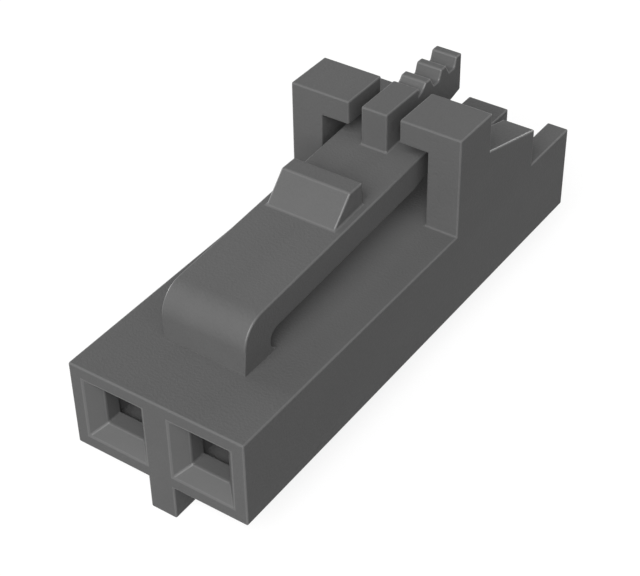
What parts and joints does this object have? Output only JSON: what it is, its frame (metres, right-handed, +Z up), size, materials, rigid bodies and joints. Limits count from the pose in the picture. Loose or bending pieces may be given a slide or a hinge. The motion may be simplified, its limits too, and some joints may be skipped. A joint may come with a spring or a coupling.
{
  "type": "wire-to-board connector housing",
  "caption": "Receptacle housing for a wire-to-board connector: funnel-mouthed sockets in a row, a spring latch with a catch tooth and a serrated thumb tab, and hooked guards over the latch.",
  "frame": {"origin": "centre of the mating face, on the web between the sockets, halfway up the body", "axes": "+Y from the mating face towards the wire end, +Z up towards the latch, +X across the sockets"},
  "size_m": [0.005, 0.0152, 0.0065],
  "materials": {
    "moulding": "matte dark grey moulded nylon"
  },
  "bodies": {
    "root": {"housing": "moulding"}
  },
  "joints": []
}
